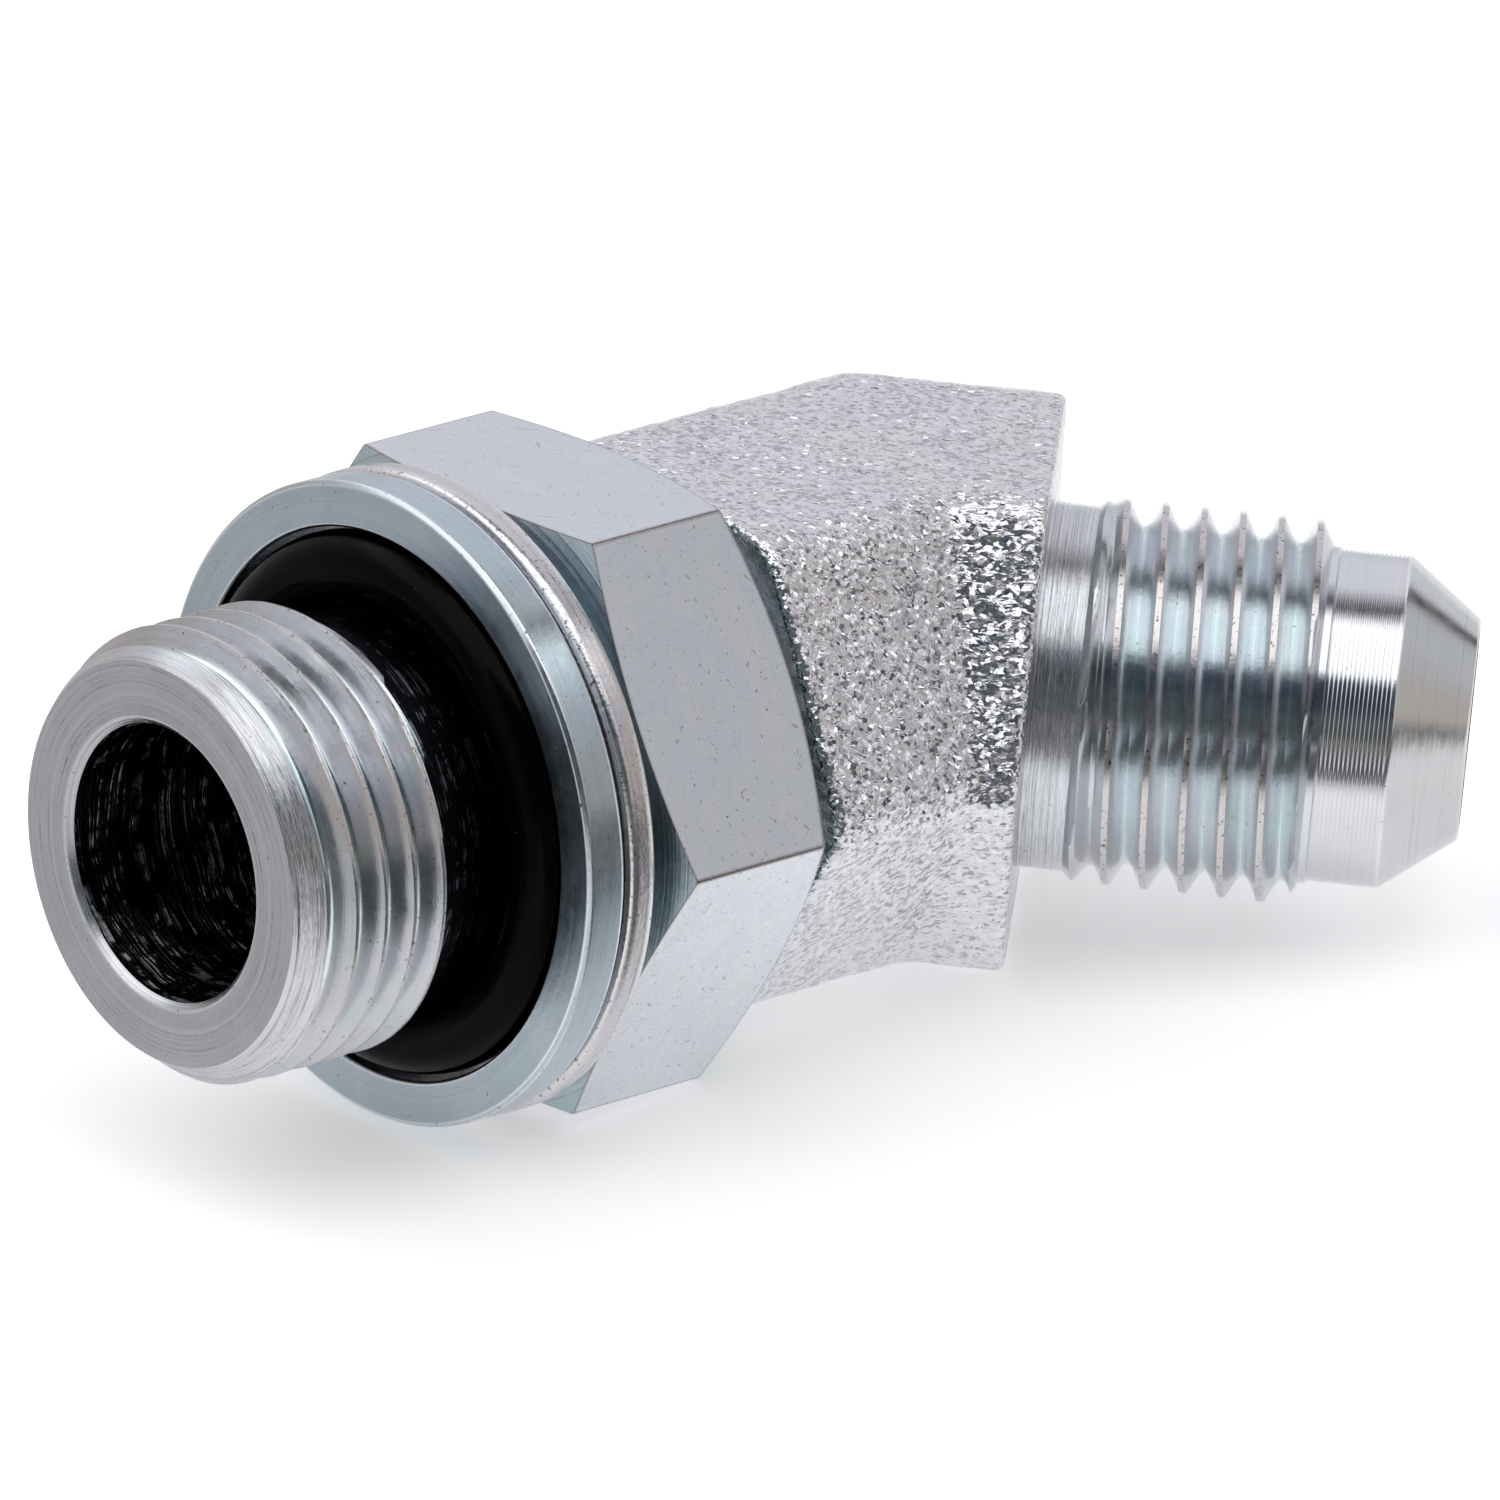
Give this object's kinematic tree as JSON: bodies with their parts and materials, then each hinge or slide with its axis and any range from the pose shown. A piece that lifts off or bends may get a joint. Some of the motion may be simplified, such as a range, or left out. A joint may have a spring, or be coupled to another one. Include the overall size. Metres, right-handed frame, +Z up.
{
  "type": "hydraulic elbow adapter",
  "caption": "Forged 45 degree elbow adapter with a 37 degree flare thread at one end and an adjustable O-ring stud with lock nut at the other.",
  "frame": {"origin": "under the middle of the overall box, on the surface that the part lies on", "axes": "+Z up, with the bend plane 6.7 degrees off level; +X along the flare arm as seen from above, towards its tip; the stud points to -X -Y"},
  "size_m": [0.051, 0.0398, 0.0239],
  "materials": {
    "plated_steel_forged": "bright zinc plate over forged and turned steel",
    "plated_steel_nut": "bright zinc plate, turned chamfers and drawn flats",
    "plated_steel_washer": "bright zinc plate over stamped steel",
    "plated_steel_ring": "bright zinc plate over turned steel",
    "black_rubber": "smooth oiled nitrile rubber"
  },
  "bodies": {
    "elbow": {"elbow_body": "plated_steel_forged"},
    "seal_stack": {"backup_washer": "plated_steel_washer", "retaining_ring": "plated_steel_ring", "o_ring": "black_rubber"},
    "nut": {"lock_nut": "plated_steel_nut"}
  },
  "joints": [
    {"name": "stack_slide", "type": "slide", "parent": "elbow", "child": "seal_stack", "axis": [-0.7022, -0.7071, 0.0828], "range_m": [-0.00101, 0.00201]},
    {"name": "nut_spin", "type": "hinge", "parent": "seal_stack", "child": "nut", "pos_m": [-0.00808, -0.00242, 0.01148], "axis": [-0.7022, -0.7071, 0.0828], "range_deg": [-270, 540]}
  ],
  "couplings": [
    {"joint": "stack_slide", "follows": "nut_spin", "m_per_rad": 0.00021279}
  ]
}
